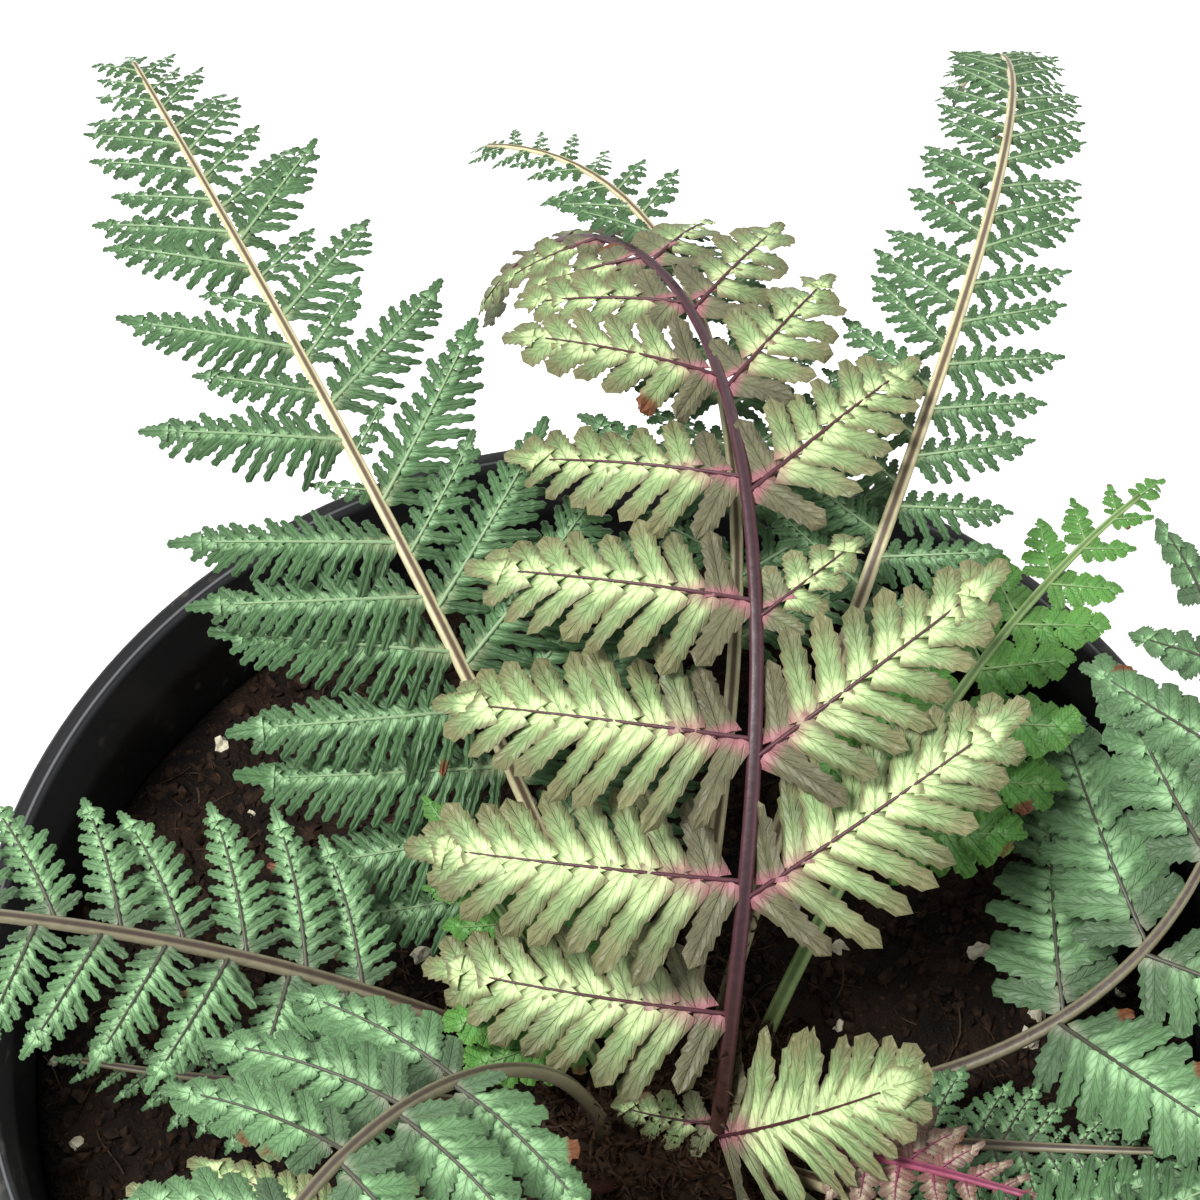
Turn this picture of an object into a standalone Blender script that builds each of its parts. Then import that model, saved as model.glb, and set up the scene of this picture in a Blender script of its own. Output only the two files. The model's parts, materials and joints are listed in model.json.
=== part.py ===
"""A painted fern in a plain round nursery pot: pot, soil, scaly crown and one object for each frond.

Metres, +Z up. The origin is the centre of the pot's flat base, which stands on z = 0.
A frond is a bent stalk with rows of lobed side leaflets. Each leaflet is a thin arched blade
with a ridge along its middle and its edges cut into lobes, and all of a frond is one solid.
"""

import math
import random
from collections import namedtuple

import bmesh
import bpy
from mathutils import Quaternion, Vector, noise
from mathutils.bvhtree import BVHTree

# Pot
RIM_RADIUS = 0.0825
POT_HEIGHT = 0.165
BASE_RADIUS = 0.0635
WALL = 0.0015
FLOOR = 0.0022
LIP_DROP = 0.006
LIP_OVERHANG = 0.0022
POT_SIDES = 36
DRAIN_HOLES = 6
DRAIN_RADIUS = 0.0045
DRAIN_CIRCLE = 0.047

# Soil
SOIL_TOP = 0.143
SOIL_SIDES = 28
SOIL_RINGS = 6
SOIL_LUMP = 0.0025
SOIL_GRAIN = 55.0

# Crown that the stalks stand in
CROWN = Vector((0.008, -0.012, 0.1445))
CROWN_SIZE = Vector((0.0175, 0.0165, 0.0095))
CROWN_LUMP = 0.0013
CROWN_GRAIN = 140.0
FOOT_DEPTH = 0.002

# Clearance between neighbouring pieces
GAP = 0.00035
LEAF_GAP = 0.0005

# Stalk: radius at the foot and at the tip
STALK_FOOT = 0.0012
STALK_TIP = 0.00042
PATH_STEPS = 40
STALK_STRIDE = 4

# Leaflet: a raised middle, drooping edges and lobes that lean towards its tip
RIDGE = 0.0007
ARCH = 0.13
NOTCH = 0.48
LEAST_NOTCH = 0.0008
LOBE_LEAN = 0.45
LOBE_PITCH = 0.0070
LEAST_LOBES = 1
MOST_LOBES = 6
ROOT_SINK = 0.0004
TIP_LEAN = 48
BLUNTNESS = 0.5
LEVEL = 0.65

# How far a leaflet may be bent or shortened to clear its neighbours
BENDS = (0, 9, -9, 18, -18, 28, -28, 40, -40)
SHORTENINGS = (1.0, 0.82, 0.64, 0.46)

# foot: bearing in degrees and distance in mm from the crown's centre
# heading, swing: bearing at the foot, and how far it has turned by the tip
# rise, fall, bend: climb at the foot and at the tip, and how late it bends
# length in mm, bare: share of it below the lowest leaflet
# pairs of leaflets, reach: longest leaflet in mm, taper: how soon they shorten up the frond
# plump: a leaflet's half width over its length, hang: how far its tip hangs
# lean, skew: angle between the lowest leaflets and the midrib, and its change from side to side
Frond = namedtuple(
    "Frond",
    "name foot heading swing rise fall bend length bare pairs reach taper plump lean skew hang colour",
)

BURGUNDY_GREEN = (0.42, 0.50, 0.30)
SILVER_GREEN = (0.40, 0.56, 0.36)
MID_GREEN = (0.20, 0.38, 0.20)
GREY_GREEN = (0.34, 0.44, 0.30)
BRIGHT_GREEN = (0.28, 0.52, 0.18)
PINK_GREEN = (0.55, 0.42, 0.36)

FRONDS = (
    Frond("frond_arching", (-65, 10), 80, 65, 85, -65, 0.9, 200, 0.06, 10, 48, 0.85, 0.30, 80, 18, 30, BURGUNDY_GREEN),
    Frond("frond_back_left", (130, 9), 121, -10, 60, -25, 0.9, 180, 0.16, 11, 31, 0.60, 0.22, 74, 0, 20, MID_GREEN),
    Frond("frond_back_right", (62, 9), 65, 35, 75, -65, 0.8, 245, 0.28, 11, 15, 0.60, 0.30, 72, 0, 18, MID_GREEN),
    Frond("frond_bright", (85, 7), 78, 66, 65, -33, 0.86, 168, 0.36, 7, 24, 0.85, 0.25, 70, 0, 25, BRIGHT_GREEN),
    Frond("frond_left_low", (160, 10), 180, 10, 55, -20, 1.0, 186, 0.24, 9, 22, 0.75, 0.24, 78, 0, 26, GREY_GREEN),
    Frond("frond_small_right", (32, 10.5), 56, -12, 57, -7, 1.0, 99, 0.40, 6, 21, 0.85, 0.38, 68, 0, 18, BRIGHT_GREEN),
    Frond("frond_right_edge", (8, 11.5), -2, 140, 20, 52, 0.81, 105, 0.40, 6, 40, 0.70, 0.30, 70, 0, 26, SILVER_GREEN),
    Frond("frond_right_front", (-17, 12), -18, 14, 42, 8, 1.1, 57, 0.36, 6, 12, 0.85, 0.34, 78, 0, 16, SILVER_GREEN),
    Frond("frond_young", (-160, 6), 140, -15, 70, 20, 1.2, 52, 0.40, 4, 18, 0.85, 0.38, 70, 0, 15, BRIGHT_GREEN),
    Frond("frond_front_left", (-152, 10), 220, 60, 84, -30, 1.3, 160, 0.42, 6, 27, 0.85, 0.32, 80, 0, 24, SILVER_GREEN),
    Frond("frond_lower_left", (-178, 12), 185, -20, 35, -10, 1.0, 68, 0.36, 6, 14, 0.85, 0.30, 78, 0, 18, GREY_GREEN),
    Frond("frond_new_leaf", (-50, 6), -38, 12, 64, 20, 1.3, 60, 0.55, 4, 10, 0.85, 0.34, 70, 0, 12, PINK_GREEN),
    Frond("frond_front_middle", (-95, 11), -98, -18, 60, -30, 1.0, 195, 0.28, 8, 31, 0.85, 0.25, 80, 0, 26, SILVER_GREEN),
    Frond("frond_front_right", (-38, 11), -52, 16, 62, -28, 1.0, 200, 0.28, 8, 30, 0.85, 0.24, 78, 0, 26, MID_GREEN),
    Frond("frond_front_far_left", (-125, 10.5), -135, -8, 58, -28, 1.1, 180, 0.32, 8, 28, 0.85, 0.25, 78, 0, 26, BURGUNDY_GREEN),
)


def clear_scene():
    for thing in list(bpy.data.objects):
        bpy.data.objects.remove(thing, do_unlink=True)


def new_collection(name, hidden=False):
    collection = bpy.data.collections.new(name)
    bpy.context.scene.collection.children.link(collection)
    collection.hide_render = hidden
    return collection


def material(name, colour, roughness=0.6):
    made = bpy.data.materials.new(name)
    made.use_nodes = True
    shader = made.node_tree.nodes["Principled BSDF"]
    shader.inputs["Base Color"].default_value = (*colour, 1.0)
    shader.inputs["Roughness"].default_value = roughness
    made.diffuse_color = (*colour, 1.0)
    return made


def add_object(name, mesh, collection):
    made = bpy.data.objects.new(name, mesh)
    collection.objects.link(made)
    return made


def mesh_from(name, points, faces):
    """A closed mesh from points and faces, its faces turned outwards."""
    shape = bmesh.new()
    verts = [shape.verts.new(point) for point in points]
    for face in faces:
        shape.faces.new([verts[index] for index in face])
    bmesh.ops.recalc_face_normals(shape, faces=shape.faces)
    mesh = bpy.data.meshes.new(name)
    shape.to_mesh(mesh)
    shape.free()
    return mesh


def plain_mesh(thing):
    """The object's shape with its modifiers worked in, as a mesh of its own."""
    graph = bpy.context.evaluated_depsgraph_get()
    return bpy.data.meshes.new_from_object(thing.evaluated_get(graph))


def bake_modifiers(thing):
    mesh = plain_mesh(thing)
    thing.modifiers.clear()
    thing.data = mesh


def turned(name, profile, sides, collection):
    """A shape turned round the Z axis from (radius, height) points, top of the outside first."""
    mesh = bpy.data.meshes.new(name)
    points = [(radius, 0.0, height) for radius, height in profile]
    mesh.from_pydata(points, [(i, i + 1) for i in range(len(points) - 1)], [])
    made = add_object(name, mesh, collection)
    screw = made.modifiers.new("turn", "SCREW")
    screw.steps = sides
    screw.render_steps = sides
    screw.use_merge_vertices = True
    screw.merge_threshold = 0.00001
    return made


def cut(thing, cutters):
    """Takes every object of the cutters' collection out of the thing."""
    boolean = thing.modifiers.new("cut", "BOOLEAN")
    boolean.operation = "DIFFERENCE"
    boolean.operand_type = "COLLECTION"
    boolean.collection = cutters
    boolean.solver = "EXACT"


def remove_collection(collection):
    for thing in list(collection.objects):
        bpy.data.objects.remove(thing, do_unlink=True)
    bpy.data.collections.remove(collection)


def inner_radius(height):
    """The pot's inside radius at a height above its base."""
    share = height / (POT_HEIGHT - LIP_DROP)
    outside = BASE_RADIUS + (RIM_RADIUS - LIP_OVERHANG - BASE_RADIUS) * share
    return outside - WALL


def make_pot(parts, cutters):
    under_lip = POT_HEIGHT - LIP_DROP
    neck = RIM_RADIUS - LIP_OVERHANG
    profile = [
        (0.0, FLOOR),
        (inner_radius(FLOOR), FLOOR),
        (inner_radius(under_lip), under_lip),
        (neck - WALL + 0.0006, POT_HEIGHT - 0.0012),
        (neck - WALL + 0.0015, POT_HEIGHT),
        (RIM_RADIUS - 0.0008, POT_HEIGHT),
        (RIM_RADIUS, POT_HEIGHT - 0.001),
        (RIM_RADIUS, under_lip + 0.0006),
        (RIM_RADIUS - 0.0006, under_lip),
        (neck, under_lip),
        (BASE_RADIUS + 0.0012, 0.004),
        (BASE_RADIUS - 0.0015, 0.0),
        (0.0, 0.0),
    ]
    pot = turned("pot", profile, POT_SIDES, parts)
    for index in range(DRAIN_HOLES):
        turn = math.tau * index / DRAIN_HOLES
        bpy.ops.mesh.primitive_cylinder_add(
            vertices=12,
            radius=DRAIN_RADIUS,
            depth=4 * FLOOR,
            location=(DRAIN_CIRCLE * math.cos(turn), DRAIN_CIRCLE * math.sin(turn), 0.0),
        )
        hole = bpy.context.object
        hole.name = f"drain_cutter_{index}"
        hole.display_type = "WIRE"
        hole.hide_render = True
        for owner in list(hole.users_collection):
            owner.objects.unlink(hole)
        cutters.objects.link(hole)
    cut(pot, cutters)
    pot.data.materials.append(material("pot_plastic", (0.02, 0.02, 0.022), 0.5))
    return pot


def soil_height(x, y):
    """The lumpy face of the soil."""
    return SOIL_TOP + SOIL_LUMP * noise.noise(Vector((x, y, 0.3)) * SOIL_GRAIN)


def make_soil(parts):
    low = FLOOR + GAP
    outer_top = inner_radius(SOIL_TOP) - GAP
    profile = [(outer_top * ring / SOIL_RINGS, SOIL_TOP) for ring in range(SOIL_RINGS + 1)]
    profile += [(inner_radius(low) - GAP, low), (0.0, low)]
    soil = turned("soil", profile, SOIL_SIDES, parts)
    bake_modifiers(soil)
    for vertex in soil.data.vertices:
        x, y, z = vertex.co
        if z > SOIL_TOP - 0.001 and math.hypot(x, y) < outer_top - 0.001:
            vertex.co.z = soil_height(x, y)
    soil.data.materials.append(material("soil_mix", (0.045, 0.03, 0.022), 0.95))
    return soil


def crown_mesh(name, swell):
    """A lumpy flattened ball, pushed out all round by swell."""
    shape = bmesh.new()
    bmesh.ops.create_uvsphere(shape, u_segments=16, v_segments=9, radius=1.0)
    for vertex in shape.verts:
        spot = Vector(a * b for a, b in zip(vertex.co, CROWN_SIZE))
        lump = CROWN_LUMP * noise.noise(spot * CROWN_GRAIN)
        vertex.co = CROWN + spot + spot.normalized() * (lump + swell)
    bmesh.ops.recalc_face_normals(shape, faces=shape.faces)
    mesh = bpy.data.meshes.new(name)
    shape.to_mesh(mesh)
    shape.free()
    return mesh


def frond_path(frond):
    """Points from the foot to the tip, bending over by the frond's climb and heading."""
    bearing, distance = frond.foot
    turn = math.radians(bearing)
    spot = CROWN + Vector((math.cos(turn), math.sin(turn), 0.0)) * distance / 1000
    spot.z -= FOOT_DEPTH
    points = [spot.copy()]
    for step in range(PATH_STEPS):
        share = (step + 0.5) / PATH_STEPS
        climb = math.radians(frond.rise + (frond.fall - frond.rise) * share**frond.bend)
        heading = math.radians(frond.heading + frond.swing * share**2)
        flat = math.cos(climb)
        way = Vector((flat * math.cos(heading), flat * math.sin(heading), math.sin(climb)))
        spot = spot + way * frond.length / 1000 / PATH_STEPS
        points.append(spot)
    return points


def frame_at(points, share):
    """Place, direction, left side and upper face of the path at a share of its length."""
    place = min(max(share, 0.0), 1.0) * (len(points) - 1)
    index = min(int(place), len(points) - 2)
    spot = points[index].lerp(points[index + 1], place - index)
    ahead = (points[index + 1] - points[index]).normalized()
    left = Vector((0.0, 0.0, 1.0)).cross(ahead).normalized()
    return spot, ahead, left, ahead.cross(left)


def stalk_radius(share):
    return STALK_FOOT + (STALK_TIP - STALK_FOOT) * share


def stalk_mesh(frond, points, swell):
    """The stalk and midrib as a bevelled curve turned into a mesh, fattened all over by swell."""
    picked = points[::STALK_STRIDE]
    first = picked[0] - (picked[1] - picked[0]).normalized() * swell * 2
    curve = bpy.data.curves.new(frond.name, "CURVE")
    curve.dimensions = "3D"
    curve.bevel_depth = 1.0
    curve.bevel_resolution = 0
    curve.use_fill_caps = True
    spline = curve.splines.new("POLY")
    spline.points.add(len(picked) - 1)
    for index, spot in enumerate(picked):
        spot = first if index == 0 else spot
        spline.points[index].co = (*spot, 1.0)
        spline.points[index].radius = stalk_radius(index / (len(picked) - 1)) + swell
    guide = add_object(frond.name + "_guide", curve, bpy.context.scene.collection)
    mesh = plain_mesh(guide)
    bpy.data.objects.remove(guide, do_unlink=True)
    bpy.data.curves.remove(curve)
    shape = bmesh.new()
    shape.from_mesh(mesh)
    bmesh.ops.remove_doubles(shape, verts=shape.verts, dist=0.000001)
    bmesh.ops.recalc_face_normals(shape, faces=shape.faces)
    shape.to_mesh(mesh)
    shape.free()
    return mesh


def leaflet(root, along, across, face, length, plump, lift, hang, sweep):
    """Points and triangles of one lobed leaflet.

    along runs out from the stalk, across towards the frond's tip and face up. The blade starts
    raised by lift, has bent down by hang at its tip, and has swept across by sweep.
    """
    lobes = max(LEAST_LOBES, min(MOST_LOBES, round(length / LOBE_PITCH)))
    stations = 2 * lobes
    stride = length / stations
    spot = root.copy()
    points = []
    for station in range(stations):
        share = station / stations
        angle = lift - hang * share
        turn = sweep * share
        flat = along * math.cos(turn) + across * math.sin(turn)
        side = across * math.cos(turn) - along * math.sin(turn)
        way = flat * math.cos(angle) + face * math.sin(angle)
        normal = face * math.cos(angle) - flat * math.sin(angle)
        half = plump * length * min(1.0, 0.70 + 1.8 * share) * (1.0 - share) ** BLUNTNESS
        if station % 2 == 0:
            half = max(half * NOTCH, LEAST_NOTCH)
        edge = way * half * LOBE_LEAN * (station % 2) - normal * half * ARCH
        points += [spot + side * half + edge, spot + normal * RIDGE, spot - side * half + edge]
        spot = spot + way * stride
    points.append(spot)
    faces = [(0, 1, 2)]
    for station in range(stations - 1):
        a, b, c = (3 * station + corner for corner in range(3))
        d, e, f = (3 * station + 3 + corner for corner in range(3))
        faces += [(a, b, e), (a, e, d), (b, c, f), (b, f, e), (a, d, f), (a, f, c)]
    a, b, c, tip = (len(points) - 4 + corner for corner in range(4))
    faces += [(a, b, tip), (b, c, tip), (a, tip, c)]
    return points, faces


def guard_tree(points, faces, normal):
    """The leaflet with copies just above and below it, so that what misses it leaves a gap."""
    shifted = []
    triangles = []
    for copy in (-1, 0, 1):
        base = len(shifted)
        shifted += [point + normal * copy * LEAF_GAP for point in points]
        triangles += [tuple(base + corner for corner in face) for face in faces]
    return BVHTree.FromPolygons(shifted, triangles)


def tree_of(mesh):
    shape = bmesh.new()
    shape.from_mesh(mesh)
    tree = BVHTree.FromBMesh(shape)
    shape.free()
    return tree


def levelled(along, across, face):
    """Turns a leaflet about its own midrib until its upper face looks more to the sky."""
    beside = along.cross(face)
    spin = Quaternion(along, LEVEL * math.atan2(beside.z, face.z))
    return spin @ across, spin @ face


def row_of_leaflets(frond, points):
    """The root, directions, length and lift of each leaflet, from the lowest pair to the tip."""
    chance = random.Random(frond.name)
    points = points[::STALK_STRIDE]
    for pair in range(frond.pairs):
        share = pair / frond.pairs
        place = frond.bare + (1.0 - frond.bare) * (1.0 - (1.0 - share) ** 1.15)
        for hand in (1, -1):
            spot, ahead, left, face = frame_at(points, place + 0.006 * hand)
            lowest = frond.lean + frond.skew * hand
            lean = math.radians(lowest + (TIP_LEAN - lowest) * share)
            lean += math.radians(chance.uniform(-6, 6))
            out = left * hand
            along = out * math.sin(lean) + ahead * math.cos(lean)
            across = ahead * math.sin(lean) - out * math.cos(lean)
            across, upper = levelled(along, across, face)
            full = min(1.0, 0.90 + 1.3 * share) * (1.0 - share) ** frond.taper
            length = frond.reach / 1000 * max(full, 0.22) * chance.uniform(0.94, 1.05)
            lift = math.radians(8 + chance.uniform(-8, 8))
            yield hand, spot - along * ROOT_SINK, along, across, upper, length, lift
    spot, ahead, left, face = frame_at(points, 0.985)
    yield 0, spot, ahead, left, face, frond.reach / 1000 * 0.30, 0.0


def place_leaflets(frond, points, obstacles):
    """Each leaflet of a frond, bent or shortened until it clears what stands near it."""
    placed = []
    own = {1: None, -1: None, 0: None}
    for hand, root, along, across, face, length, lift in row_of_leaflets(frond, points):
        near = [tree for owner, tree in obstacles if owner != frond.name]
        if own[hand]:
            near.append(own[hand])
        found = None
        for short in SHORTENINGS:
            for bend in BENDS:
                hang = math.radians(frond.hang)
                sweep = math.radians(10) if hand else 0.0
                shape = leaflet(
                    root, along, across, face, length * short, frond.plump,
                    lift + math.radians(bend), hang, sweep,
                )
                guard = guard_tree(*shape, face)
                if not any(guard.overlap(tree) for tree in near):
                    found = shape
                    break
            if found:
                break
        if found:
            own[hand] = guard
            placed.append(found)
            obstacles.append((frond.name, BVHTree.FromPolygons(*found)))
    return placed


def fuse(name, base, pieces, parts):
    """One solid from the base mesh and the pieces, joined by a single union."""
    group = new_collection(name + "_leaflets")
    for index, (points, faces) in enumerate(pieces):
        label = f"{name}_leaflet_{index}"
        add_object(label, mesh_from(label, points, faces), group)
    made = add_object(name, base, parts)
    union = made.modifiers.new("fuse", "BOOLEAN")
    union.operation = "UNION"
    union.operand_type = "COLLECTION"
    union.collection = group
    union.solver = "MANIFOLD"
    bake_modifiers(made)
    remove_collection(group)
    return made


def make_fronds(parts, paths, fixed):
    """All fronds, the leaflets of each kept clear of the others' stalks and leaflets."""
    obstacles = list(fixed)
    for frond in FRONDS:
        guard = stalk_mesh(frond, paths[frond.name], LEAF_GAP)
        obstacles.append((frond.name, tree_of(guard)))
    for frond in FRONDS:
        points = paths[frond.name]
        pieces = place_leaflets(frond, points, obstacles)
        made = fuse(frond.name, stalk_mesh(frond, points, 0.0), pieces, parts)
        made.data.materials.append(material(frond.name + "_leaf", frond.colour, 0.55))


def make_crown(parts, paths):
    crown = add_object("rhizome", crown_mesh("rhizome", 0.0), parts)
    sockets = new_collection("stalk_sockets", hidden=True)
    for frond in FRONDS:
        socket = add_object(
            frond.name + "_socket", stalk_mesh(frond, paths[frond.name], GAP), sockets
        )
        socket.display_type = "WIRE"
        socket.hide_render = True
    cut(crown, sockets)
    crown.data.materials.append(material("rhizome_scales", (0.16, 0.085, 0.04), 0.85))
    return crown


def seat_crown(soil):
    """Hollows the soil to the crown's own shape, a gap larger all round."""
    seat = new_collection("crown_seat", hidden=True)
    swollen = add_object("crown_seat_cutter", crown_mesh("crown_seat_cutter", GAP * 1.3), seat)
    swollen.display_type = "WIRE"
    swollen.hide_render = True
    cut(soil, seat)


def main():
    clear_scene()
    parts = new_collection("painted_fern")
    cutters = new_collection("pot_cutters", hidden=True)
    paths = {frond.name: frond_path(frond) for frond in FRONDS}
    pot = make_pot(parts, cutters)
    soil = make_soil(parts)
    seat_crown(soil)
    crown = make_crown(parts, paths)
    bpy.context.view_layer.update()
    fixed = [(thing.name, tree_of(plain_mesh(thing))) for thing in (pot, soil, crown)]
    make_fronds(parts, paths, fixed)


main()
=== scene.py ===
# %% [markdown]
# # A painted fern in its nursery pot
#
# This lesson dresses a plain solid model of a potted fern. The solids fix every size and place.
# Each frond's plain solid is replaced by fine leaflets that follow the same bent path, and the
# pot, the soil and the scaly crown get the surfaces that real ones have.

# %% Load the solid model
import json
import math
import random
from collections import namedtuple

import bmesh
import bpy
from mathutils import Matrix, Quaternion, Vector, noise
from mathutils.bvhtree import BVHTree

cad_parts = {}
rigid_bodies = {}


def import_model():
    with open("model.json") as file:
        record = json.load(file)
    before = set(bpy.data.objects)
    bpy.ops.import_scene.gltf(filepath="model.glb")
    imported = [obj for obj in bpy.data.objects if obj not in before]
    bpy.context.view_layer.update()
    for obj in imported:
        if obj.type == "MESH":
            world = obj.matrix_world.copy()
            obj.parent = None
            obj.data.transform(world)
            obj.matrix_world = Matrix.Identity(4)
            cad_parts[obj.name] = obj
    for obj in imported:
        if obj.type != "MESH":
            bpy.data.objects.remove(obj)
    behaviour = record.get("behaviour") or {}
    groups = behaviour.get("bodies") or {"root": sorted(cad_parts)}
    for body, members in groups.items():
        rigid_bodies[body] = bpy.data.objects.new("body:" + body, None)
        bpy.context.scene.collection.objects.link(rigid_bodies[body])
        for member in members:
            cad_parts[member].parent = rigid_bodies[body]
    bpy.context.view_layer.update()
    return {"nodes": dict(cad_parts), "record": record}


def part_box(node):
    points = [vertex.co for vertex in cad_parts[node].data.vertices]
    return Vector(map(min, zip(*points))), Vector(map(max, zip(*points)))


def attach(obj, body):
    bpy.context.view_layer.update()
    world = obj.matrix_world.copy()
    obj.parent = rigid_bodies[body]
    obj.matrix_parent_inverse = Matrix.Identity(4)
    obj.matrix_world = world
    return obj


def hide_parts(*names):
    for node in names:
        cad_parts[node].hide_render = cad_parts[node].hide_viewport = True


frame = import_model()
POT_HIGH = Vector(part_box("pot")[1])
SOIL_LOW, SOIL_HIGH = (Vector(corner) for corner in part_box("soil"))
RIM_RADIUS = POT_HIGH.x
RIM_HEIGHT = POT_HIGH.z
print("pot rim", round(RIM_RADIUS * 1000, 1), "mm in radius, at", round(RIM_HEIGHT * 1000, 1), "mm")

# %% [markdown]
# ## The camera
#
# The photograph looks steeply down on the plant from close by, so near leaves look larger.
# The pot's round rim shows as an ellipse. Its shape gives the slope of the view, and its size
# against the real rim gives the distance and the lens.

# %% Camera
VIEW_SLOPE = math.radians(56.4)
VIEW_DISTANCE = 0.40
VIEW_AIM = Vector((-0.0023, 0.0548, RIM_HEIGHT))
LENS = 87.3
SENSOR = 36.0

look = Vector((0.0, math.cos(VIEW_SLOPE), -math.sin(VIEW_SLOPE)))
camera_data = bpy.data.cameras.new("camera")
camera_data.lens = LENS
camera_data.sensor_width = SENSOR
camera = bpy.data.objects.new("camera", camera_data)
camera.location = VIEW_AIM - look * VIEW_DISTANCE
camera.rotation_euler = look.to_track_quat("-Z", "Y").to_euler()
bpy.context.scene.collection.objects.link(camera)
bpy.context.scene.camera = camera
print("camera stands", round(camera.location.z * 1000), "mm above the floor")

# %% [markdown]
# ## A short way to write materials
#
# A material is a graph of small steps. Written as Python expressions it reads like arithmetic:
# a wrapped socket knows how to add, subtract and multiply, and each operation puts a Math node
# into the graph. Every other node comes from one method, `add`. The trees that make shapes use
# the same two classes.


# %% Wrapped sockets
class Flow:
    """One output of a node, with arithmetic that adds Math nodes."""

    def __init__(self, bench, socket):
        self.bench = bench
        self.socket = socket

    def math(self, operation, *others):
        values = dict(enumerate((self, *others)))
        return self.bench.add("ShaderNodeMath", {"operation": operation}, values)

    def __add__(self, other):
        return self.math("ADD", other)

    def __sub__(self, other):
        return self.math("SUBTRACT", other)

    def __mul__(self, other):
        return self.math("MULTIPLY", other)

    def __rsub__(self, other):
        return (self * -1.0) + other

    __radd__ = __add__
    __rmul__ = __mul__

    def size(self):
        return self.math("ABSOLUTE")

    def ramp(self, low, high):
        """Rises smoothly from 0 at low to 1 at high."""
        values = {"Value": self, "From Min": low, "From Max": high}
        return self.bench.add("ShaderNodeMapRange", {"interpolation_type": "SMOOTHSTEP"}, values)


# %% A bench for one tree
class Bench:
    """Adds nodes to one tree, of a material or of a shape."""

    def __init__(self, tree):
        self.tree = tree

    def add(self, kind, settings=None, values=None, out=0):
        node = self.tree.nodes.new(kind)
        for name, value in (settings or {}).items():
            setattr(node, name, value)
        for key, value in (values or {}).items():
            socket = self.pick(node.inputs, key)
            if isinstance(value, Flow):
                self.tree.links.new(value.socket, socket)
            else:
                socket.default_value = value
        return Flow(self, self.pick(node.outputs, out))

    @staticmethod
    def pick(sockets, key):
        usable = [socket for socket in sockets if socket.enabled]
        if isinstance(key, int):
            return usable[key]
        return next(socket for socket in usable if socket.name == key)

    def attribute(self, name):
        return self.add("ShaderNodeAttribute", {"attribute_name": name}, out="Fac")

    def place(self):
        return self.add("ShaderNodeTexCoord", out="Object")

    def grain(self, scale, detail):
        """Noise in the object's own space, with so many cells to the metre."""
        values = {"Vector": self.place(), "Scale": scale, "Detail": detail}
        return self.add("ShaderNodeTexNoise", {}, values)

    def blend(self, share, first, second):
        values = {"Factor": share, "A": as_colour(first), "B": as_colour(second)}
        return self.add("ShaderNodeMix", {"data_type": "RGBA"}, values)

    def shaded(self, colour, shade):
        """The colour, lighter or darker by a number that changes over the surface."""
        grey = self.add("ShaderNodeCombineColor", {}, {0: shade, 1: shade, 2: shade})
        values = {"Factor": 1.0, "A": colour, "B": grey}
        return self.add("ShaderNodeMix", {"data_type": "RGBA", "blend_type": "MULTIPLY"}, values)


# %% Starting and finishing a material
def as_colour(value):
    """Leaves a link alone and gives a plain colour its fourth number."""
    return value if isinstance(value, Flow) else (*value, 1.0)


def new_material(name):
    """A new material, the bench of its tree and its Principled shader."""
    made = bpy.data.materials.new(name)
    made.use_nodes = True
    return made, Bench(made.node_tree), made.node_tree.nodes["Principled BSDF"]


def finish(bench, shader, colour, roughness, height, depth, strength, gloss=0.5):
    """Feeds the shader its colour, its roughness and, through a bump, its fine relief."""
    links = bench.tree.links
    links.new(colour.socket, shader.inputs["Base Color"])
    if isinstance(roughness, Flow):
        links.new(roughness.socket, shader.inputs["Roughness"])
    else:
        shader.inputs["Roughness"].default_value = roughness
    values = {"Height": height, "Distance": depth, "Strength": strength}
    bump = bench.add("ShaderNodeBump", {}, values)
    links.new(bump.socket, shader.inputs["Normal"])
    shader.inputs["Specular IOR Level"].default_value = gloss


# %% [markdown]
# ## The colours of a painted fern
#
# A leaflet of this fern is painted in bands: silver along its own midrib and along the middle
# of each lobe, green outside that, and an olive or brown margin. Close to the stalk a leaflet is
# darker, which is its `base` colour. On an old frond the midribs are burgundy, and that colour
# bleeds into the silver as a `tinge`. Each band is a smooth ramp on an attribute that the shape
# carries: `reach` runs from a lobe's root to its tip, `side` from one edge of the lobe to the
# other, `along` from the leaflet's root to its tip, `place` from the frond's foot to its tip,
# and `tone` is a random number for each lobe. Two sizes of noise, `cloud` and `fleck`, fray the
# edges of the bands.

# %% Leaf colours
Palette = namedtuple(
    "Palette", "silver green margin base tinge tinge_end band veins rib rib_edge costa"
)

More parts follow.
